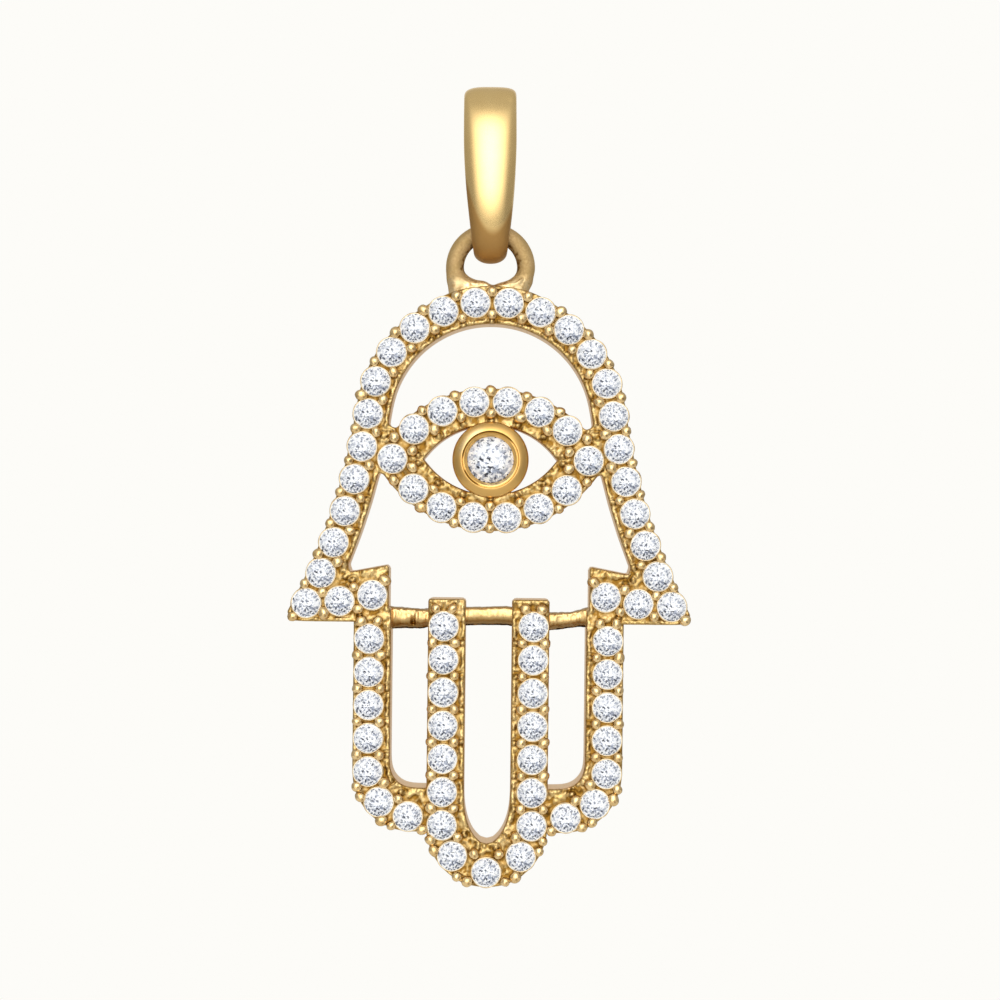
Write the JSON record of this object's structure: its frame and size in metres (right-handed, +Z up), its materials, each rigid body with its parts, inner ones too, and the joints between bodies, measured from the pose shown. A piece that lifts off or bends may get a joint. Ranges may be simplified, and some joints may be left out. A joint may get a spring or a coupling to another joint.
{
  "type": "hamsa pendant",
  "caption": "Openwork hand-shaped pendant with an eye in its palm, set with round brilliant stones, hinged on an oval bail.",
  "frame": {"origin": "the top of the bail's inside, midway across its width, where the chain lies", "axes": "+Z up, -Y towards the viewer of the stones, +X to the viewer's right along the chain"},
  "size_m": [0.014, 0.0032, 0.0276],
  "materials": {
    "polished_gold": "polished yellow gold",
    "cast_gold": "cast and polished yellow gold",
    "white_stone": "clear faceted stone"
  },
  "bodies": {
    "bail": {"bail": "polished_gold"},
    "pendant": {"hand_frame": "cast_gold", "outline_stones": "white_stone", "eye_stones": "white_stone", "finger_stones": "white_stone", "centre_stone": "white_stone"}
  },
  "joints": [
    {"name": "pendant_swing", "type": "hinge", "parent": "bail", "child": "pendant", "pos_m": [0, 0, -0.00454], "axis": [1, 0, 0], "range_deg": [-90, 90]}
  ]
}
